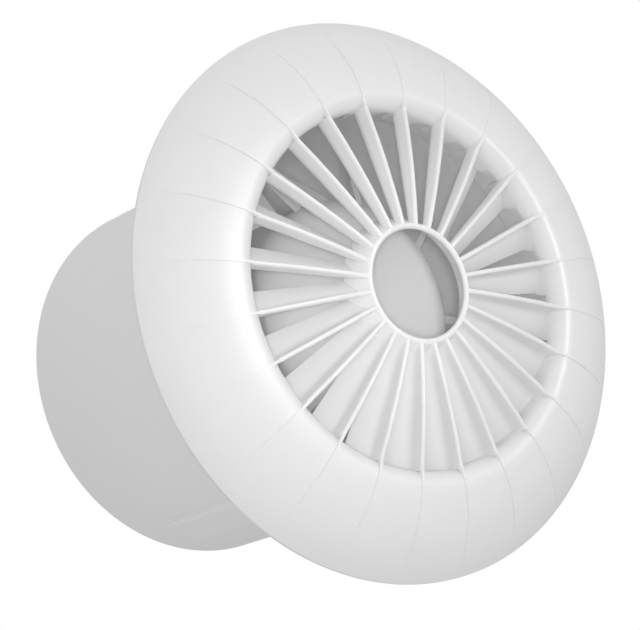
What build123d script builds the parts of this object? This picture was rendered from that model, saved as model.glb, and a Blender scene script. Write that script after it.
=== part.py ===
from build123d import *
import os
from math import atan2, cos, degrees, hypot, radians, sin, sqrt, tan

# Axial extractor fan with a curved louvre grille, for a duct of 100 mm nominal bore.
# Modelled with the fan's axis along Z, the room towards +Z and the wall surface at z = 0.
# The last lines turn it so that the axis lies along Y with the room at -Y and up at +Z.

# Driving dimensions, in mm
SPIGOT_R = 49.0
DUCT_WALL = 1.5
DUCT_REAR = -88.6
BEZEL_R = 72.6
CREST_Z = 16.5
RIM_Z = 3.1
VANES = 24
VANE_START = 8.39
VANE_T = 1.2
BLADES = 9
BLADE_START = -4.3
HUB_R = 29.5
HUB_FRONT = -5.5
HUB_REAR = -33.0
STRIP_ANGLE = -114.0
CHANNEL_W = 5.2
STRIP_W = 10.4
STRIP_H = 1.9
SHAFT_R = 2.0
BEARING_R = 6.0
STATOR_TEETH = 6

# Clearances, in mm
SLIP = 0.1
AIR_GAP = 0.4
PULL = 0.02

DUCT_IN = SPIGOT_R - DUCT_WALL
THROAT_R = DUCT_IN - 1.3
TIP_R = DUCT_IN - 1.5
SHELL = 1.5
CREST_ROUND = 4.0
CREST_TILT = 8.2
CREST_R = THROAT_R + CREST_ROUND
RIM_ROUND = 2.6
WALL_GAP = 0.2
PLATE_T = 2.5
COLLAR_IN = DUCT_IN
COLLAR_OUT = SPIGOT_R + 1.6
COLLAR_TOP = 11.2
SEAM_Z = 3.35
TUBE_FRONT = 3.05
DRAFT = 0.12


def polar(radius, angle, z=0.0):
    return (radius * cos(radians(angle)), radius * sin(radians(angle)), z)


def spun(points):
    """Solid of revolution about Z from a closed polygon of (r, z) points."""
    return revolve(make_face(Plane.XZ * Polyline(*points, close=True)), Axis.Z)


def ring(r_in, r_out, z_low, z_high):
    """Plain ring about Z."""
    return spun([(r_in, z_low), (r_out, z_low), (r_out, z_high), (r_in, z_high)])


def rod(radius, z_low, z_high, x=0.0, y=0.0):
    """Round bar along Z."""
    return Pos(x, y, (z_low + z_high) / 2) * Cylinder(radius, z_high - z_low)


def block(angle, r_low, r_high, width, z_low, z_high, side=0.0):
    """Box laid along the radius at an angle, pushed sideways by side."""
    box = Pos((r_low + r_high) / 2, side, (z_low + z_high) / 2) * Box(r_high - r_low, width, z_high - z_low)
    return Rot(0, 0, angle) * box


def one(shape):
    """The single solid of a result that should be one piece."""
    solids = shape.solids()
    assert len(solids) == 1, len(solids)
    return solids[0]


# Bezel: the arc of its face runs from the crest to the rim.

SLOPE = radians(CREST_TILT)
CHORD_START = (CREST_R + CREST_ROUND * sin(SLOPE), CREST_Z - CREST_ROUND * (1 - cos(SLOPE)))
CHORD = (BEZEL_R - CHORD_START[0], RIM_Z - CHORD_START[1])
FACE_R = (CHORD[0] ** 2 + CHORD[1] ** 2) / (-2 * (CHORD[0] * sin(SLOPE) + CHORD[1] * cos(SLOPE)))
FACE_CENTRE = (CHORD_START[0] - FACE_R * sin(SLOPE), CHORD_START[1] - FACE_R * cos(SLOPE))


def face_point(tilt, offset=0.0):
    """Point on the bezel's face where the surface falls by tilt degrees, moved out by offset."""
    reach = FACE_R + offset
    return (FACE_CENTRE[0] + reach * sin(radians(tilt)), FACE_CENTRE[1] + reach * cos(radians(tilt)))


def face_tilt(radius, offset=0.0):
    return degrees(atan2(radius - FACE_CENTRE[0], sqrt(max((FACE_R + offset) ** 2 - (radius - FACE_CENTRE[0]) ** 2, 0.0))))


def bezel_shell():
    crest = (CREST_R, CREST_Z - CREST_ROUND)
    end_tilt = face_tilt(BEZEL_R)
    inner_tilt = face_tilt(BEZEL_R - SHELL - 1.2, -SHELL)
    throat_back = COLLAR_TOP + 0.4
    thin = COLLAR_IN - 0.2
    rear = WALL_GAP
    turn = CREST_TILT
    half = radians((180 + 90 - turn) / 2)
    out_start = (THROAT_R, crest[1])
    out_mid = (crest[0] + CREST_ROUND * cos(half), crest[1] + CREST_ROUND * sin(half))
    in_mid = (crest[0] + (CREST_ROUND - SHELL) * cos(half), crest[1] + (CREST_ROUND - SHELL) * sin(half))
    rim_end = (BEZEL_R - RIM_ROUND, rear)
    rim_top = (BEZEL_R, rear + RIM_ROUND)
    rim_mid = (BEZEL_R - RIM_ROUND * (1 - cos(radians(45))), rear + RIM_ROUND * (1 - sin(radians(45))))
    inner_end = face_point(inner_tilt, -SHELL)
    with BuildLine(Plane.XZ) as line:
        Line((THROAT_R, throat_back), out_start)
        ThreePointArc(out_start, out_mid, face_point(turn))
        ThreePointArc(face_point(turn), face_point((turn + end_tilt) / 2), face_point(end_tilt))
        Line(face_point(end_tilt), rim_top)
        ThreePointArc(rim_top, rim_mid, rim_end)
        Line(rim_end, (inner_end[0], rear))
        Line((inner_end[0], rear), inner_end)
        ThreePointArc(inner_end, face_point((turn + inner_tilt) / 2, -SHELL), face_point(turn, -SHELL))
        ThreePointArc(face_point(turn, -SHELL), in_mid, (THROAT_R + SHELL, crest[1]))
        Line((THROAT_R + SHELL, crest[1]), (thin, crest[1] - 0.5))
        Line((thin, crest[1] - 0.5), (thin, throat_back))
        Line((thin, throat_back), (THROAT_R, throat_back))
    return revolve(make_face(line.line), Axis.Z)


def inner_height(radius):
    """Height of the bezel's inner surface over a radius."""
    return face_point(face_tilt(radius, -SHELL), -SHELL)[1]


# Grille vanes: front part along the axis, then a rounded bend into a flap.

RING_R = 14.0
RING_FLARE = 3.2
RING_TOP = CREST_Z + 2.1
RING_BACK = CREST_Z - 4.0

def vane_heights(radius):
    t = (radius - RING_R - 1.0) / (THROAT_R + 0.8 - RING_R)
    front = CREST_Z + 2.7 * (1 - t) + 3.2 * t * (1 - t)
    s = (radius - RING_R - 4.0) / (THROAT_R - 4.2 - RING_R)
    return front, CREST_Z - 0.5 - 4.6 * s, CREST_Z - 4.0 - 4.8 * s, 4.0 + 2.3 * s


def vane_section(radius):
    front, bend, rear, shift = vane_heights(radius)
    h = VANE_T / 2
    rho = 3.0
    phi = atan2(shift, bend - rear)
    tangent = rho * tan(phi / 2)
    top = bend + tangent
    away = (-sin(phi), -cos(phi))
    side = (cos(phi), -sin(phi))
    turn = (away[0] * tangent, bend + away[1] * tangent)
    end = (-shift, rear)
    middle = (cos(phi / 2), -sin(phi / 2))

    def shifted(point, amount):
        return (point[0] + side[0] * amount, point[1] + side[1] * amount)

    def on_bend(reach):
        return (-rho + middle[0] * reach, top + middle[1] * reach)

    with BuildSketch(Plane(origin=(radius, 0, 0), x_dir=(0, 1, 0), z_dir=(1, 0, 0))) as sketch:
        with BuildLine():
            Line((h, front - h), (h, top))
            ThreePointArc((h, top), on_bend(rho + h), shifted(turn, h))
            Line(shifted(turn, h), shifted(end, h))
            Line(shifted(end, h), shifted(end, -h))
            Line(shifted(end, -h), shifted(turn, -h))
            ThreePointArc(shifted(turn, -h), on_bend(rho - h), (-h, top))
            Line((-h, top), (-h, front - h))
            ThreePointArc((-h, front - h), (0, front), (h, front - h))
        make_face()
    return sketch.sketch


def vane():
    body = loft([vane_section(r) for r in (RING_R - 2.0, (RING_R + THROAT_R) / 2, THROAT_R + 1.4)])
    slope = RING_FLARE / (RING_TOP - RING_BACK)
    inner, outer = RING_R + 0.6, THROAT_R + 0.6
    low, high = CREST_Z - 11.5, CREST_Z + 5.5
    keep = spun([(inner + slope * (RING_TOP - low), low), (outer, low), (outer, high), (inner - slope * (high - RING_TOP), high)])
    return one(body & keep)


def grille_ring():
    with BuildSketch(Plane.XZ) as sketch:
        with BuildLine():
            back = RING_R + RING_FLARE
            Polyline((RING_R, RING_TOP), (back, RING_BACK), (back + 1.2, RING_BACK), (RING_R + 1.6, RING_TOP))
            ThreePointArc((RING_R + 1.6, RING_TOP), (RING_R + 0.8, RING_TOP + 0.7), (RING_R, RING_TOP))
        make_face()
    return revolve(sketch.sketch, Axis.Z)


def throat_tab():
    """Tab of the throat wall behind one vane, with a slanted edge."""
    low, high = COLLAR_TOP - 4.0, COLLAR_TOP + 0.6
    wall = ring(THROAT_R, COLLAR_IN - 0.2, low, high)
    first = polar(BEZEL_R, 0.6)
    last_low = polar(BEZEL_R, -8.6)
    last_high = polar(BEZEL_R, -9.9)
    sector = loft([
        Plane(origin=(0, 0, low)) * make_face(Polyline((0, 0), first[:2], last_low[:2], close=True)),
        Plane(origin=(0, 0, high)) * make_face(Polyline((0, 0), first[:2], last_high[:2], close=True)),
    ])
    return one(wall & sector)


def face_rib():
    """Fine raised line over the bezel in front of one vane."""
    end = face_tilt(BEZEL_R - 0.8)
    start = THROAT_R - 1.2
    low = CREST_Z - 0.9
    with BuildSketch(Plane.XZ) as sketch:
        with BuildLine():
            Line((start, low), (start, CREST_Z + 0.25))
            Line((start, CREST_Z + 0.25), face_point(7.0, 0.28))
            ThreePointArc(face_point(7.0, 0.28), face_point((7 + end) / 2, 0.26), face_point(end, -0.1))
            Line(face_point(end, -0.1), face_point(end, -1.0))
            ThreePointArc(face_point(end, -1.0), face_point((7 + end) / 2, -1.0), face_point(7.0, -1.0))
            Line(face_point(7.0, -1.0), (start, low))
        make_face()
    return extrude(sketch.sketch, amount=0.35, both=True)


# Snap fastening between the grille and the flange

TONGUES = (0.0, 90.0, 180.0, 270.0)
POSTS = (20.0, 110.0, 200.0, 290.0)
EDGE_R = BEZEL_R - 6.6
POST_R = EDGE_R - 4.5
BEAD = 0.55
BEAD_Z = 3.7


def snap_tongue(angle):
    """Tongue under the bezel with a hook that catches below the flange's bead."""
    face = EDGE_R + BEAD + 0.15
    body = block(angle, face, face + 1.5, 12.0, 1.2, inner_height(face + 1.5) + 0.7)
    hook = block(angle, EDGE_R + SLIP, face + 0.5, 10.0, BEAD_Z - 1.7, BEAD_Z - SLIP)
    return body + hook


def front_grille():
    body = bezel_shell() + grille_ring()
    angles = [VANE_START + k * 360.0 / VANES for k in range(VANES)]
    one_vane = vane()
    tab = throat_tab()
    rib = face_rib()
    body = body.fuse(*[Rot(0, 0, a) * one_vane for a in angles])
    body = body.fuse(*[Rot(0, 0, a) * tab for a in angles])
    body = body.fuse(*[Rot(0, 0, a) * rib for a in angles])
    posts = [Rot(0, 0, a) * rod(1.5, PLATE_T, inner_height(POST_R) + 0.8, POST_R) for a in POSTS]
    body = body.fuse(*[snap_tongue(a) for a in TONGUES], *posts)
    return one(body)


# Wall flange

SCREW_PCD = SPIGOT_R + EDGE_R + 1.0
SCREW_HOLE_R = 2.2
SCREW_ANGLES = (45.0, 135.0, 225.0, 315.0)
CABLE_ANGLE = -86.0
CABLE_R = COLLAR_OUT + 6.9
CABLE_HOLE = 4.5
CLAMP_ANGLE = -96.5
BLOCK_R = COLLAR_OUT + 5.9
CLAMP_SCREWS = (COLLAR_OUT + 2.0, COLLAR_OUT + 11.0)


def mounting_flange():
    body = spun([
        (SPIGOT_R + DRAFT, 0), (EDGE_R, 0), (EDGE_R, 6.0), (EDGE_R - 1.5, 6.0), (EDGE_R - 1.5, PLATE_T),
        (COLLAR_OUT, PLATE_T), (COLLAR_OUT, COLLAR_TOP), (COLLAR_IN, COLLAR_TOP),
        (COLLAR_IN, SEAM_Z), (SPIGOT_R + DRAFT, SEAM_Z),
    ])
    for angle in TONGUES:
        body += block(angle, EDGE_R - 0.8, EDGE_R + BEAD, 9.0, BEAD_Z, BEAD_Z + 1.2)
    for angle in SCREW_ANGLES:
        x, y, _ = polar(SCREW_PCD / 2, angle)
        body += rod(SCREW_HOLE_R + 2.0, PLATE_T - 0.5, PLATE_T + 1.5, x, y)
        body -= rod(SCREW_HOLE_R, -1, PLATE_T + 3, x, y)
    for radius in CLAMP_SCREWS:
        body += block(CLAMP_ANGLE, radius - 1.8, radius + 1.8, 3.6, PLATE_T - 0.5, 5.5)
    body -= rod(CABLE_HOLE, -1, PLATE_T + 1, *polar(CABLE_R, CABLE_ANGLE)[:2])
    body -= block(STRIP_ANGLE, COLLAR_IN - 1.0, SPIGOT_R + STRIP_H + SLIP, STRIP_W + 2 * SLIP, -1.0, PLATE_T)
    body -= block(STRIP_ANGLE, COLLAR_IN - 1.0, SPIGOT_R + 2.5, CHANNEL_W + 2 * SLIP, -1.0, 8.0)
    for radius in CLAMP_SCREWS:
        body -= rod(0.9, 1.0, 6.0, *polar(radius, CLAMP_ANGLE)[:2])
    return one(body)


# Duct tube with its closed wiring channel

CHANNEL_REAR = -66.0
STRIP_REAR = -72.0
SPIGOT_TOP = STRIP_REAR - 0.6
LEAD_Z = -44.0
LEAD_R = 0.95


def duct_tube():
    body = spun([
        (DUCT_IN, DUCT_REAR), (SPIGOT_R, DUCT_REAR), (SPIGOT_R, SPIGOT_TOP), (SPIGOT_R + DRAFT, -1.0),
        (SPIGOT_R + DRAFT, TUBE_FRONT), (DUCT_IN, TUBE_FRONT),
    ])
    top = SPIGOT_R + STRIP_H
    strip = block(STRIP_ANGLE, SPIGOT_R - 1.1, top, STRIP_W, STRIP_REAR, PLATE_T)
    outer = strip.faces().sort_by_distance(polar(top, STRIP_ANGLE, STRIP_REAR / 2))[0]
    side_edges = [e for e in outer.edges() if e.length > 50]
    strip = chamfer(side_edges, 0.8)
    rear_corners = [e for e in strip.edges().filter_by(GeomType.LINE) if abs(e.center().Z - STRIP_REAR) < 0.1 and e.length > 5]
    rear_corners = [e for e in rear_corners if hypot(e.center().X, e.center().Y) > SPIGOT_R + 1]
    strip = fillet(rear_corners, 1.6)
    body = body + strip
    body -= block(STRIP_ANGLE, SPIGOT_R - 1.0, SPIGOT_R + 1.1, CHANNEL_W, CHANNEL_REAR, 5.0)
    body -= block(STRIP_ANGLE, DUCT_IN - 1.2, SPIGOT_R, CHANNEL_W, LEAD_Z - 2.0, LEAD_Z + 2.0)
    return one(body)


# Motor support: ring, three arms, drum and bearing tube

ARMS = (STRIP_ANGLE, STRIP_ANGLE + 120.0, STRIP_ANGLE + 240.0)
DRUM_R = HUB_R - 0.5
DRUM_WALL = 1.6
DRUM_FRONT = HUB_REAR - 1.0
DRUM_REAR = DRUM_FRONT - 16.5
FLOOR_Z = DRUM_FRONT - 2.0
TUBE_R = 8.0
BEARING_FRONT = HUB_FRONT - 7.5
BEARING_T = 4.0
REAR_BEARING = DRUM_FRONT + 4.5
BOARD_Z = FLOOR_Z - 2.0
BOARD_T = 1.6
BOARD_R = DRUM_R - DRUM_WALL - 1.9
BOARD_SCREW_R = BOARD_R - 4.5
BOARD_SCREWS = (30.0, 150.0, 270.0)
PIN_R = 9.8
PIN_ANGLES = (30.0, 150.0, 270.0)


def motor_mount():
    inner = DRUM_R - DRUM_WALL
    body = ring(DUCT_IN - 1.8, DUCT_IN, DRUM_REAR - 1.5, DRUM_REAR + 3.0)
    body += ring(inner, DRUM_R, DRUM_REAR, DRUM_FRONT)
    body += rod(DRUM_R - 0.5, FLOOR_Z, DRUM_FRONT)
    body += rod(TUBE_R, FLOOR_Z, BEARING_FRONT)
    body += block(ARMS[0], inner + 0.6, DUCT_IN + 1.0, CHANNEL_W + 2.8, DRUM_REAR, BOARD_Z)
    for angle in ARMS[1:]:
        body += block(angle, inner + 0.6, DUCT_IN + 1.0, 2.6, DRUM_REAR, BOARD_Z)
    body = body & rod(DUCT_IN, DRUM_REAR - 3.0, BEARING_FRONT + 1.0)
    for angle in BOARD_SCREWS:
        body += rod(2.6, BOARD_Z, FLOOR_Z + 0.5, *polar(BOARD_SCREW_R, angle)[:2])
    body -= rod(BEARING_R - 0.9, FLOOR_Z - 1, BEARING_FRONT + 1)
    body -= rod(BEARING_R, BEARING_FRONT - BEARING_T, BEARING_FRONT + 1)
    body -= rod(BEARING_R, FLOOR_Z - 1, REAR_BEARING)
    body -= block(ARMS[0], BOARD_R - 1.5, DUCT_IN + 1, CHANNEL_W, DRUM_REAR - 4, LEAD_Z + 1.5)
    body += ring(DUCT_IN - 1.8, DUCT_IN, DRUM_REAR - 1.5, DRUM_REAR + 2.0)
    for angle in BOARD_SCREWS:
        body -= rod(0.9, BOARD_Z - 1, BOARD_Z + 3.5, *polar(BOARD_SCREW_R, angle)[:2])
    for angle in PIN_ANGLES:
        body -= rod(1.2, FLOOR_Z - 1, DRUM_FRONT + 1, *polar(PIN_R, angle + 30)[:2])
    return one(body)


def motor_cover():
    inner = DRUM_R - DRUM_WALL
    disc = rod(DRUM_R, DRUM_REAR - 1.8, DRUM_REAR)
    disc = fillet(disc.edges().sort_by(Axis.Z)[0], 1.2)
    lip = ring(inner - 1.2, inner, DRUM_REAR - 0.2, DRUM_REAR + 3.0)
    lip -= block(ARMS[0], inner - 7.0, inner + 3.0, CHANNEL_W + 3.8, DRUM_REAR, DRUM_REAR + 4)
    return one(disc + lip)


# Impeller: deep hub cup and twisted blades

HUB_WALL = 1.6
HUB_ROUND = 6.8
BOSS_BACK = HUB_FRONT - 6.0
CLIP_R = SHAFT_R - 0.4
CLIP_T = 0.5
CLIP_Z = REAR_BEARING - BEARING_T - CLIP_T - 0.3
YOKE_T = 1.2
MAGNET_T = 3.0


def blade():
    root_x, tip_x = HUB_R - 2.9, TIP_R + 0.6
    front, back = HUB_FRONT - 4.5, HUB_REAR + 5.5
    tip_front, tip_back = HUB_FRONT - 11.5, HUB_FRONT - 17.5
    root = ((0.0, front), (-7.8, back), -1.2, 1.8)
    tip = ((2.4, tip_front), (-0.7, tip_back), -0.8, 1.3)

    def section(x, lead, trail, camber, thick):
        dy, dz = trail[0] - lead[0], trail[1] - lead[1]
        length = hypot(dy, dz)
        ny, nz = -dz / length, dy / length
        start = (lead[0] - 0.25 * dy, lead[1] - 0.25 * dz)
        stop = (trail[0] + 0.25 * dy, trail[1] + 0.25 * dz)
        mid = ((start[0] + stop[0]) / 2, (start[1] + stop[1]) / 2)

        def off(point, amount):
            return (point[0] + ny * amount, point[1] + nz * amount)

        h = thick / 2
        with BuildSketch(Plane(origin=(x, 0, 0), x_dir=(0, 1, 0), z_dir=(1, 0, 0))) as sketch:
            with BuildLine():
                ThreePointArc(off(start, h), off(mid, camber + h), off(stop, h))
                Line(off(stop, h), off(stop, -h))
                ThreePointArc(off(stop, -h), off(mid, camber - h), off(start, -h))
                Line(off(start, -h), off(start, h))
            make_face()
        return sketch.sketch

    slab = loft([section(root_x, *root), section(tip_x, *tip)])
    outline = Plane.XZ * Polyline((HUB_R - 1.2, front), (TIP_R, tip_front), (TIP_R, tip_back - 0.4), (HUB_R - 1.2, back), close=True)
    face = make_face(outline)
    tip_corners = [v for v in face.vertices() if v.X > TIP_R - 0.1]
    face = fillet(tip_corners, 2.6)
    return one(slab & revolve(face, Axis.Z))


def impeller():
    inner = HUB_R - HUB_WALL
    flat = HUB_R - HUB_ROUND
    under = HUB_FRONT - HUB_WALL
    middle = 1 - cos(radians(45))
    with BuildSketch(Plane.XZ) as sketch:
        with BuildLine():
            Line((0, HUB_FRONT), (flat, HUB_FRONT))
            ThreePointArc((flat, HUB_FRONT), (HUB_R - HUB_ROUND * middle, HUB_FRONT - HUB_ROUND * middle),
                          (HUB_R, HUB_FRONT - HUB_ROUND))
            Polyline((HUB_R, HUB_FRONT - HUB_ROUND), (HUB_R, HUB_REAR), (inner, HUB_REAR), (inner, HUB_FRONT - HUB_ROUND))
            ThreePointArc((inner, HUB_FRONT - HUB_ROUND),
                          (inner - (HUB_ROUND - HUB_WALL) * middle, under - (HUB_ROUND - HUB_WALL) * middle), (flat, under))
            Polyline((flat, under), (5.0, under), (4.6, BOSS_BACK), (SHAFT_R, BOSS_BACK), (SHAFT_R, under + 0.5), (0, under + 0.5),
                     (0, HUB_FRONT))
        make_face()
    body = revolve(sketch.sketch, Axis.Z)
    one_blade = blade()
    body = body.fuse(*[Rot(0, 0, BLADE_START + k * 360.0 / BLADES) * one_blade for k in range(BLADES)])
    return one(body)


def rotor_yoke():
    outer = HUB_R - HUB_WALL
    return ring(outer - YOKE_T, outer, HUB_REAR + 2.0, HUB_FRONT - HUB_ROUND - 0.3)


def rotor_magnet():
    outer = HUB_R - HUB_WALL - YOKE_T
    return ring(outer - MAGNET_T, outer, CORE_LOW - 1.5, CORE_HIGH + 1.5)


def shaft():
    top = HUB_FRONT - HUB_WALL + 0.5
    body = rod(SHAFT_R, CLIP_Z - 0.9, top)
    body = chamfer(body.edges().filter_by(GeomType.CIRCLE).sort_by(Axis.Z)[0], 0.4)
    return one(body - ring(CLIP_R, SHAFT_R + 1, CLIP_Z, CLIP_Z + CLIP_T))


def bearing(front):
    """Shielded ball bearing with a running fit on the shaft."""
    back = front - BEARING_T
    bore = SHAFT_R + PULL
    inner, outer = SHAFT_R + 1.0, BEARING_R - 1.0
    return spun([
        (bore, back), (inner, back), (inner, back + 0.3), (outer, back + 0.3), (outer, back), (BEARING_R, back),
        (BEARING_R, front), (outer, front), (outer, front - 0.3), (inner, front - 0.3), (inner, front), (bore, front),
    ])


def preload_spring():
    """Small coil spring that loads the bearings endways."""
    wire = 0.2
    height = BOSS_BACK - BEARING_FRONT - 2 * wire
    path = Helix(pitch=height / 2, height=height, radius=SHAFT_R + 0.6)
    profile = Plane(origin=path @ 0, z_dir=path % 0) * Circle(wire)
    return one(Pos(0, 0, BEARING_FRONT + wire) * sweep(profile, path, is_frenet=True))


def retaining_clip():
    body = ring(CLIP_R, CLIP_R + 1.8, CLIP_Z, CLIP_Z + CLIP_T)
    return one(body - block(0, 0.5, CLIP_R + 3, 2 * CLIP_R - 0.8, CLIP_Z - 1, CLIP_Z + CLIP_T + 1))


# Stator

CORE_R = HUB_R - HUB_WALL - YOKE_T - MAGNET_T - AIR_GAP
CORE_LOW = HUB_REAR + 6.5
CORE_HIGH = HUB_FRONT - 9.0
TOOTH_W = 5.0
TEETH_ANGLES = [k * 360.0 / STATOR_TEETH for k in range(STATOR_TEETH)]


def star(z_low, z_high, r_out):
    body = ring(TUBE_R, TUBE_R + 3.0, z_low, z_high)
    for angle in TEETH_ANGLES:
        body += block(angle, TUBE_R + 2.0, CORE_R - 1.5, TOOTH_W, z_low, z_high)
        shoe = ring(CORE_R - 2.1, r_out, z_low, z_high)
        wedge = make_face(Polyline((0, 0), (60 * cos(radians(25)), -60 * sin(radians(25))),
                                   (60 * cos(radians(25)), 60 * sin(radians(25))), close=True))
        body += shoe & (Rot(0, 0, angle) * Pos(0, 0, z_low - 1) * extrude(wedge, z_high - z_low + 2))
    return one(body)


def stator_windings():
    high, low = CORE_HIGH + 1.0, CORE_LOW - 1.0
    inner, outer = TUBE_R + 4.6, CORE_R - 2.9
    coil = block(0, inner, outer, TOOTH_W + 4.2, low - 1.8, high + 1.8)
    coil = fillet(coil.edges().filter_by(Axis.X), 1.6)
    coil -= block(0, inner - 1, outer + 1, TOOTH_W, low, high)
    return Compound([Rot(0, 0, a) * coil for a in TEETH_ANGLES])


def winding_pins():
    low = BOARD_Z - BOARD_T - 0.8
    return Compound([rod(0.4, low, CORE_LOW - 1.0, *polar(PIN_R, a + 30)[:2]) for a in PIN_ANGLES])


# Drive electronics in the drum

def circuit_board():
    body = rod(BOARD_R, BOARD_Z - BOARD_T, BOARD_Z)
    body -= rod(BEARING_R + 1.0, BOARD_Z - 3, BOARD_Z + 1)
    for angle in BOARD_SCREWS:
        body -= rod(1.3, BOARD_Z - 3, BOARD_Z + 1, *polar(BOARD_SCREW_R, angle)[:2])
    for angle in PIN_ANGLES:
        body -= rod(0.4, BOARD_Z - 3, BOARD_Z + 1, *polar(PIN_R, angle + 30)[:2])
    return one(body)


def smoothing_capacitor():
    x, y, _ = polar(BOARD_R - 10.0, 66.0)
    can = rod(5.0, BOARD_Z - BOARD_T - 9.0, BOARD_Z - BOARD_T, x, y)
    return one(fillet(can.edges().sort_by(Axis.Z)[0], 0.8))


def lead_connector():
    back = BOARD_Z - BOARD_T
    body = block(STRIP_ANGLE, BOARD_R - 12.5, BOARD_R - 4.5, 9.0, LEAD_Z - 2.6, back)
    for side in (-1.3, 1.3):
        body -= Rot(0, 0, STRIP_ANGLE) * Pos(BOARD_R - 6.0, side, LEAD_Z) * Rot(0, 90, 0) * Cylinder(LEAD_R, 4.0)
    return one(body)


def pan_screw(x, y, seat, down, length, head_r, r):
    """Pan-head screw whose head stands on seat; down is -1 when its shank points to -Z."""
    shank = rod(r, min(seat, seat + down * length), max(seat, seat + down * length), x, y)
    head = rod(head_r, min(seat, seat - down * 0.9), max(seat, seat - down * 0.9), x, y)
    slot = Pos(x, y, seat - down * 0.9) * Box(2 * head_r + 1, 0.5, 0.7)
    return one(shank + head - slot)


def board_screws():
    seat = BOARD_Z - BOARD_T
    return Compound([pan_screw(*polar(BOARD_SCREW_R, a)[:2], seat, 1, 4.6, 1.9, 0.9) for a in BOARD_SCREWS])


# Mains terminal under the grille

def terminal_block():
    top = inner_height(BLOCK_R + 4.0) - 3.2
    body = block(STRIP_ANGLE, BLOCK_R - 4.0, BLOCK_R + 4.0, 18.0, PLATE_T, top)
    top_edges = [e for e in body.edges() if abs(e.center().Z - top) < 0.01]
    body = chamfer(top_edges, 0.6)
    for side in (-4.5, 4.5):
        x, y, _ = polar(BLOCK_R, STRIP_ANGLE)
        hole = Rot(0, 0, STRIP_ANGLE) * Pos(BLOCK_R, side, 0) * rod(1.6, 5.0, 9.0)
        body -= hole
        body -= block(STRIP_ANGLE, BLOCK_R, BLOCK_R + 5.0, 2.6, 4.2, 6.8, side)
    for side in (-1.3, 1.3):
        body -= Rot(0, 0, STRIP_ANGLE) * Pos(BLOCK_R - 3.0, side, 5.6) * Rot(0, 90, 0) * Cylinder(LEAD_R, 4.0)
    return one(body)


def terminal_screws():
    screws = []
    for side in (-4.5, 4.5):
        screw = rod(1.6, 5.0, 7.6) - Pos(0, 0, 7.6) * Box(4, 0.5, 1.2)
        screws.append(Rot(0, 0, STRIP_ANGLE) * Pos(BLOCK_R, side, 0) * screw)
    return Compound([one(s) for s in screws])


def lead(side):
    """One insulated lead from the terminal block through the channel and the hollow arm to the board."""
    run = SPIGOT_R + 0.05
    path = FilletPolyline((BLOCK_R - 3.0, 0, 5.6), (run, 0, 5.6), (run, 0, LEAD_Z), (BOARD_R - 8.0, 0, LEAD_Z), radius=2.2)
    profile = Plane(origin=path @ 0, z_dir=path % 0) * Circle(LEAD_R)
    return one(Rot(0, 0, STRIP_ANGLE) * Pos(0, side, 0) * sweep(profile, path))


def cord_clamp():
    body = block(CLAMP_ANGLE, CLAMP_SCREWS[0] - 1.7, CLAMP_SCREWS[1] + 1.7, 4.0, 5.5, 7.2)
    for radius in CLAMP_SCREWS:
        body -= rod(1.1, 5.0, 8.0, *polar(radius, CLAMP_ANGLE)[:2])
    return one(body)


def clamp_screws():
    return Compound([pan_screw(*polar(r, CLAMP_ANGLE)[:2], 7.2, -1, 5.6, 1.7, 0.9) for r in CLAMP_SCREWS])


def cable_grommet():
    body = spun([
        (3.2, WALL_GAP), (CABLE_HOLE, WALL_GAP), (CABLE_HOLE, PLATE_T), (5.8, PLATE_T), (5.8, 3.8), (3.2, 3.8),
    ])
    return one(Pos(*polar(CABLE_R, CABLE_ANGLE)) * body)


PIECES = {
    "front_grille": front_grille,
    "mounting_flange": mounting_flange,
    "duct_tube": duct_tube,
    "motor_mount": motor_mount,
    "motor_cover": motor_cover,
    "impeller": impeller,
    "rotor_yoke": rotor_yoke,
    "rotor_magnet": rotor_magnet,
    "shaft": shaft,
    "front_bearing": lambda: bearing(BEARING_FRONT),
    "rear_bearing": lambda: bearing(REAR_BEARING),
    "preload_spring": preload_spring,
    "retaining_clip": retaining_clip,
    "stator_core": lambda: star(CORE_LOW, CORE_HIGH, CORE_R),
    "front_insulator": lambda: star(CORE_HIGH, CORE_HIGH + 1.0, CORE_R - 0.5),
    "rear_insulator": lambda: star(CORE_LOW - 1.0, CORE_LOW, CORE_R - 0.5),
    "stator_windings": stator_windings,
    "winding_pins": winding_pins,
    "circuit_board": circuit_board,
    "smoothing_capacitor": smoothing_capacitor,
    "lead_connector": lead_connector,
    "board_screws": board_screws,
    "live_lead": lambda: lead(-1.3),
    "neutral_lead": lambda: lead(1.3),
    "terminal_block": terminal_block,
    "terminal_screws": terminal_screws,
    "cord_clamp": cord_clamp,
    "clamp_screws": clamp_screws,
    "cable_grommet": cable_grommet,
}

os.makedirs("parts", exist_ok=True)
for name, make in PIECES.items():
    export_step(Rot(90, 0, 0) * make(), f"parts/{name}.step")
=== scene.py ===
import bpy
from mathutils import Matrix, Vector

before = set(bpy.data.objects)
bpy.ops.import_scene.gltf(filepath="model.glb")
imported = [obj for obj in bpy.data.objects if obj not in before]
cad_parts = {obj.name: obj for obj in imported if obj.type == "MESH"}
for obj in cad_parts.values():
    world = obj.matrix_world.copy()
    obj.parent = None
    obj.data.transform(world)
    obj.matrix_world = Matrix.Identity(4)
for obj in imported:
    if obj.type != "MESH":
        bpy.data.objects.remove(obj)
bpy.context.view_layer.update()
scene = bpy.context.scene
scene.view_settings.view_transform = "Standard"
bpy.ops.object.select_all(action="DESELECT")


# Camera
# A long lens on the room side, below the fan and to its left, so that the bezel fills the right
# of the picture and the tube shows behind it on the left.
SENSOR_MM = 36.0
LENS_MM = 154.7
NEAREST_SEEN = 0.05
CAMERA_PLACE = (-0.4118, -0.5442, -0.1338)
CAMERA_RIGHT = (0.8175, -0.5600, -0.1340)
CAMERA_UP = (0.0, -0.2327, 0.9725)

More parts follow.
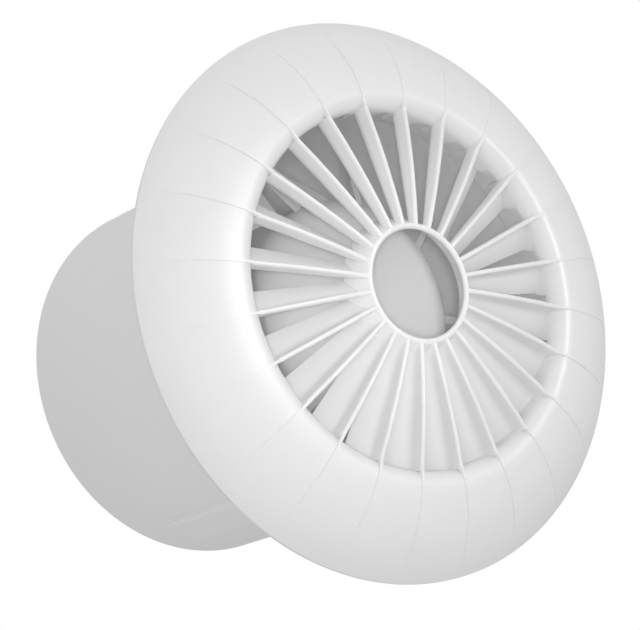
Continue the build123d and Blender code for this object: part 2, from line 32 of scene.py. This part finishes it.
lens = bpy.data.cameras.new("camera")
lens.sensor_width = SENSOR_MM
lens.lens = LENS_MM
lens.clip_start = NEAREST_SEEN
camera = bpy.data.objects.new("camera", lens)
right = Vector(CAMERA_RIGHT)
back = right.cross(Vector(CAMERA_UP)).normalized()
up = back.cross(right).normalized()
turn = Matrix((right, up, back)).transposed().to_4x4()
camera.matrix_world = Matrix.Translation(CAMERA_PLACE) @ turn
scene.collection.objects.link(camera)
scene.camera = camera


# Floor
# A plain matt white board half a metre under the fan. It isn't in the camera's view, which looks
# up, and it throws a little light back on the underside. Seen straight on, it is lifted towards
# the white of the room, and it keeps the fan's shadow.
WHITE = (1, 1, 1, 1)
BOARD_SIDE = 12.0
BOARD_Z = -0.5
BOARD_ROUGHNESS = 0.8
BOARD_LIFT = 0.35


def linear(code):
    """Turns an sRGB hex colour into the linear one that the shaders take."""
    parts = [int(code[i:i + 2], 16) / 255 for i in (1, 3, 5)]
    return tuple(c / 12.92 if c <= 0.04045 else ((c + 0.055) / 1.055) ** 2.4 for c in parts) + (1.0,)


def add(material, kind, settings, feeds):
    """Adds one shader node to a material, with its settings and what feeds it."""
    node = material.node_tree.nodes.new("ShaderNode" + kind)
    for name, value in settings.items():
        if name in node.inputs:
            node.inputs[name].default_value = value
        else:
            setattr(node, name, value)
    for name, source in feeds.items():
        material.node_tree.links.new(source, node.inputs[name])
    return node


def blank(name):
    """A new material with only its main shader."""
    material = bpy.data.materials.new(name)
    material.use_nodes = True
    return material, material.node_tree.nodes["Principled BSDF"].inputs


bpy.ops.mesh.primitive_plane_add(size=BOARD_SIDE, location=(0, 0, BOARD_Z))
floor = bpy.context.active_object
floor.name = "floor"
board, paint = blank("matt white board")
paint["Base Color"].default_value = linear("#E4E4E4")
paint["Roughness"].default_value = BOARD_ROUGHNESS
paint["Emission Color"].default_value = WHITE
straight = add(board, "LightPath", {}, {}).outputs["Is Camera Ray"]
lift = add(board, "MapRange", {"To Max": BOARD_LIFT}, {"Value": straight}).outputs["Result"]
board.node_tree.links.new(lift, paint["Emission Strength"])
floor.data.materials.append(board)
bpy.ops.object.select_all(action="DESELECT")


# Studio
# An even white room: soft light from all round, and pure white where the camera looks past
# the fan.
AMBIENT = 0.59

world = bpy.data.worlds.new("studio")
scene.world = world
world.use_nodes = True
room = world.node_tree.nodes["Background"]
room.inputs["Color"].default_value = WHITE
room.inputs["Strength"].default_value = AMBIENT
seen = add(world, "Background", {"Color": WHITE, "Strength": 1.0}, {})
ray = add(world, "LightPath", {}, {})
mix = add(world, "MixShader", {}, {"Fac": ray.outputs["Is Camera Ray"]})
world.node_tree.links.new(room.outputs[0], mix.inputs[1])
world.node_tree.links.new(seen.outputs[0], mix.inputs[2])
world.node_tree.links.new(mix.outputs[0], world.node_tree.nodes["World Output"].inputs["Surface"])


# Lamps
# A soft box behind the camera, one at the right and one overhead. A card in front, to the right,
# shows only in the gloss, along the crest. The louvres shade the hub, so a narrow soft spot from
# behind the camera reaches in through them.
FRONT = (-0.62, -0.82, -0.2)
SOFT_BOXES = {  # place and side in metres, and watts
    "front soft box": (FRONT, 0.5, 1.45),
    "right soft box": ((1.0, -1.0, 0.2), 0.8, 2.33),
    "overhead soft box": ((0.0, -0.4, 1.3), 1.0, 2.22),
}
CARD_PLACE = (0.35, -1.25, 0.25)
CARD_SIDE = 0.6
CARD_WATTS = 6.0
SPOT_ANGLE = 0.095
SPOT_SOFT_EDGE = 0.6
SPOT_RADIUS = 0.05
SPOT_WATTS = 19.0


def hang(name, light, place):
    """Hangs a lamp at its place and turns it to the middle of the fan."""
    lamp = bpy.data.objects.new(name, light)
    aim = Vector(place).to_track_quat("Z", "Y").to_matrix().to_4x4()
    lamp.matrix_world = Matrix.Translation(place) @ aim
    scene.collection.objects.link(lamp)
    return lamp


def soft_box(name, place, side, watts):
    """A square soft box that points at the middle of the fan."""
    light = bpy.data.lights.new(name, "AREA")
    light.size = side
    light.energy = watts
    return hang(name, light, place)


for name, (place, side, watts) in SOFT_BOXES.items():
    soft_box(name, place, side, watts).visible_glossy = False
soft_box("gloss card", CARD_PLACE, CARD_SIDE, CARD_WATTS).visible_diffuse = False

cone = bpy.data.lights.new("spot", "SPOT")
cone.spot_size = SPOT_ANGLE
cone.spot_blend = SPOT_SOFT_EDGE
cone.shadow_soft_size = SPOT_RADIUS
cone.energy = SPOT_WATTS
hang("spot", cone, FRONT).visible_glossy = False


# Grille, flange and tube
# The bezel with its louvres, the wall flange behind it and the duct tube are white ABS, injection
# moulded in polished tools. That gives an even, neutral white with a soft gloss, a faint flow in
# it and a trace of orange peel. Flow and grain are drawn coarser than real, so that they show.
ABS_IOR = 1.53
FLOW_SHADE = 0.988
FLOW_BAND = (0.3, 0.7)
FLOW_GLOSS = (-0.03, 0.05)
FLOW_DETAIL = 3.0
GRAIN_DETAIL = 4.0
GRAIN_STRENGTH = 0.5


def wear(material, pieces):
    """Puts a material on the CAD pieces that have it."""
    for piece in pieces:
        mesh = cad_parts[piece].data
        mesh.materials.clear()
        mesh.materials.append(material)


def moulded(name, code, gloss, flow_mm, grain_mm, grain_deep_mm, ior):
    """Moulded plastic or rubber: clouds of flow in colour and gloss, over a fine grain."""
    material, shader = blank(name)
    shader["IOR"].default_value = ior
    links = material.node_tree.links
    place = add(material, "TexCoord", {}, {}).outputs["Object"]
    clouds = {"Scale": 1000 / flow_mm, "Detail": FLOW_DETAIL}
    flow = add(material, "TexNoise", clouds, {"Vector": place}).outputs["Fac"]
    tint = add(material, "ValToRGB", {}, {"Fac": flow})
    pale = linear(code)
    low, high = tint.color_ramp.elements
    low.position, high.position = FLOW_BAND
    low.color = tuple(FLOW_SHADE * c for c in pale[:3]) + (1.0,)
    high.color = pale
    spread = {"To Min": gloss + FLOW_GLOSS[0], "To Max": gloss + FLOW_GLOSS[1]}
    sheen = add(material, "MapRange", spread, {"Value": flow})
    pits = {"Scale": 1000 / grain_mm, "Detail": GRAIN_DETAIL}
    grain = add(material, "TexNoise", pits, {"Vector": place}).outputs["Fac"]
    depth = {"Strength": GRAIN_STRENGTH, "Distance": grain_deep_mm / 1000}
    relief = add(material, "Bump", depth, {"Height": grain})
    links.new(tint.outputs["Color"], shader["Base Color"])
    links.new(sheen.outputs["Result"], shader["Roughness"])
    links.new(relief.outputs["Normal"], shader["Normal"])
    return material


shell = moulded("polished white ABS", "#F6F6F6", gloss=0.3, flow_mm=14.0,
                grain_mm=1.1, grain_deep_mm=0.006, ior=ABS_IOR)
wear(shell, ["front_grille", "mounting_flange", "duct_tube"])


# Motor support, its cover, the impeller and the cord clamp
# White glass-filled polypropylene from plainer tools: a touch duller than the shell, with a fine
# spark-eroded grain. The cover closes the support's drum at the back, the impeller's cup is
# pressed over the rotor's yoke, and the clamp is held by two screws.
PP_IOR = 1.49
inner = moulded("moulded white polypropylene", "#F8F8F8", gloss=0.36, flow_mm=9.0,
                grain_mm=0.8, grain_deep_mm=0.01, ior=PP_IOR)
wear(inner, ["motor_mount", "motor_cover", "impeller", "cord_clamp"])


# Nylon pieces
# The stator's two end insulators, the board's lead connector and the terminal block are natural
# nylon 66, moulded: a warm ivory, half matt, a little cloudy.
NYLON_IOR = 1.53
nylon = moulded("natural nylon 66", "#E8E2CF", gloss=0.48, flow_mm=4.0,
                grain_mm=0.5, grain_deep_mm=0.008, ior=NYLON_IOR)
wear(nylon, ["front_insulator", "rear_insulator", "lead_connector", "terminal_block"])


# Leads and grommet
# Two single-core leads in soft PVC, brown for live and blue for neutral: smooth and half gloss.
# The grommet round the cable's hole is black rubber, pressed into the flange: matt.
PVC_IOR = 1.54
RUBBER_IOR = 1.52
for lead, name, colour in (("live_lead", "brown PVC", "#5A3018"),
                           ("neutral_lead", "blue PVC", "#2F5F9E")):
    sheath = moulded(name, colour, gloss=0.45, flow_mm=3.0,
                     grain_mm=0.5, grain_deep_mm=0.006, ior=PVC_IOR)
    wear(sheath, [lead])
rubber = moulded("black EPDM rubber", "#2B2B2B", gloss=0.7, flow_mm=2.0,
                 grain_mm=0.4, grain_deep_mm=0.02, ior=RUBBER_IOR)
wear(rubber, ["cable_grommet"])


# Rotor: yoke, magnet, shaft, spring and clip
# A rolled and zinc-plated steel yoke lines the hub, round a ring of bonded ferrite, which is dark
# and matt. The shaft is ground steel, with a coil spring and a snap clip of spring steel on it:
# bright, with fine lines left by the tools.
WAVE_MM = 314
LINE_WAVER = 1.5
LINE_STRENGTH = 0.4
PATCH_SCALE = 350.0
PATCH_DETAIL = 4.0
PATCH_SHADE = 0.86
PATCH_GLOSS = (-0.06, 0.08)
FERRITE_IOR = 1.54


def metal(name, code, rough, line_mm, line_deep_mm, around):
    """Bare or plated metal: fine tool lines across the axis or round it, and patchy gloss.

    The wave node repeats every 0.314 of its own units, so WAVE_MM over the lines' pitch in
    millimetres is its scale. The patches are about 3 mm across.
    """
    material, shader = blank(name)
    shader["Metallic"].default_value = 1.0
    links = material.node_tree.links
    place = add(material, "TexCoord", {}, {}).outputs["Object"]
    turned = {"wave_type": "RINGS", "rings_direction": "Y"}
    drawn = {"wave_type": "BANDS", "bands_direction": "Y"}
    tooling = {"Scale": WAVE_MM / line_mm, "Distortion": LINE_WAVER, **(turned if around else drawn)}
    lines = add(material, "TexWave", tooling, {"Vector": place}).outputs["Fac"]
    patches = {"Scale": PATCH_SCALE, "Detail": PATCH_DETAIL}
    patch = add(material, "TexNoise", patches, {"Vector": place}).outputs["Fac"]
    tint = add(material, "ValToRGB", {}, {"Fac": patch})
    bright = linear(code)
    tint.color_ramp.elements[0].color = tuple(PATCH_SHADE * c for c in bright[:3]) + (1.0,)
    tint.color_ramp.elements[1].color = bright
    spread = {"To Min": rough + PATCH_GLOSS[0], "To Max": rough + PATCH_GLOSS[1]}
    sheen = add(material, "MapRange", spread, {"Value": patch})
    depth = {"Strength": LINE_STRENGTH, "Distance": line_deep_mm / 1000}
    relief = add(material, "Bump", depth, {"Height": lines})
    links.new(tint.outputs["Color"], shader["Base Color"])
    links.new(sheen.outputs["Result"], shader["Roughness"])
    links.new(relief.outputs["Normal"], shader["Normal"])
    return material


plated = metal("zinc-plated steel sheet", "#BCBFC2", rough=0.38,
               line_mm=0.6, line_deep_mm=0.004, around=False)
wear(plated, ["rotor_yoke", "retaining_clip"])
ferrite = moulded("bonded ferrite", "#3E3E40", gloss=0.6, flow_mm=1.5,
                  grain_mm=0.35, grain_deep_mm=0.02, ior=FERRITE_IOR)
wear(ferrite, ["rotor_magnet"])
ground = metal("ground steel", "#D3D5D7", rough=0.22,
               line_mm=0.25, line_deep_mm=0.002, around=False)
wear(ground, ["shaft", "preload_spring"])


# Bearings and screws
# Two shielded ball bearings in polished chrome steel, and zinc-plated screws for the board, the
# terminals and the cord clamp. Turning lines run round them.
chrome = metal("polished chrome steel", "#D6D7D9", rough=0.2,
               line_mm=0.3, line_deep_mm=0.002, around=True)
wear(chrome, ["front_bearing", "rear_bearing"])
screw_steel = metal("zinc-plated screw steel", "#CFCFC8", rough=0.3,
                    line_mm=0.25, line_deep_mm=0.004, around=True)
wear(screw_steel, ["board_screws", "terminal_screws", "clamp_screws"])


# Stator: core, windings and pins
# The core is a stack of half-millimetre silicon steel sheets, oiled. Six coils of enamelled
# copper wire are wound over its teeth, and three tinned pins carry their ends to the board.
# Sheets and wires are drawn as lines at their real pitch.
SHEET_MM = 0.5
WIRE_MM = 0.3
core = metal("stacked silicon steel", "#8A8C90", rough=0.42,
             line_mm=SHEET_MM, line_deep_mm=0.03, around=False)
wear(core, ["stator_core"])
copper = metal("enamelled copper wire", "#C9763F", rough=0.34,
               line_mm=WIRE_MM, line_deep_mm=0.06, around=True)
wear(copper, ["stator_windings"])
tinned = metal("tinned copper pins", "#DADAD6", rough=0.28,
               line_mm=0.4, line_deep_mm=0.002, around=False)
wear(tinned, ["winding_pins"])


# Circuit board and capacitor
# The board is glass epoxy under green solder mask, which is a glossy lacquer and lies paler over
# the copper tracks. The capacitor is a small aluminium can in a dark shrunk sleeve.
EPOXY_IOR = 1.55
MASK_ROUGHNESS = 0.3
TRACK_MM = 2.2
TRACK_EDGE = (0.06, 0.12)
TRACK_RISE_MM = 0.03
TRACK_STRENGTH = 0.6

mask, shader = blank("green solder mask")
shader["IOR"].default_value = EPOXY_IOR
shader["Roughness"].default_value = MASK_ROUGHNESS
place = add(mask, "TexCoord", {}, {}).outputs["Object"]
layout = {"feature": "DISTANCE_TO_EDGE", "Scale": 1000 / TRACK_MM}
tracks = add(mask, "TexVoronoi", layout, {"Vector": place})
edge = add(mask, "ValToRGB", {}, {"Fac": tracks.outputs["Distance"]})
gap, track = edge.color_ramp.elements
gap.position, track.position = TRACK_EDGE
gap.color = linear("#0F4A26")
track.color = linear("#2C7A45")
rise = {"Strength": TRACK_STRENGTH, "Distance": TRACK_RISE_MM / 1000}
step = add(mask, "Bump", rise, {"Height": edge.outputs["Color"]})
mask.node_tree.links.new(edge.outputs["Color"], shader["Base Color"])
mask.node_tree.links.new(step.outputs["Normal"], shader["Normal"])
wear(mask, ["circuit_board"])
sleeve = moulded("shrunk PVC sleeve", "#2E3340", gloss=0.35, flow_mm=3.0,
                 grain_mm=0.6, grain_deep_mm=0.006, ior=PVC_IOR)
wear(sleeve, ["smoothing_capacitor"])
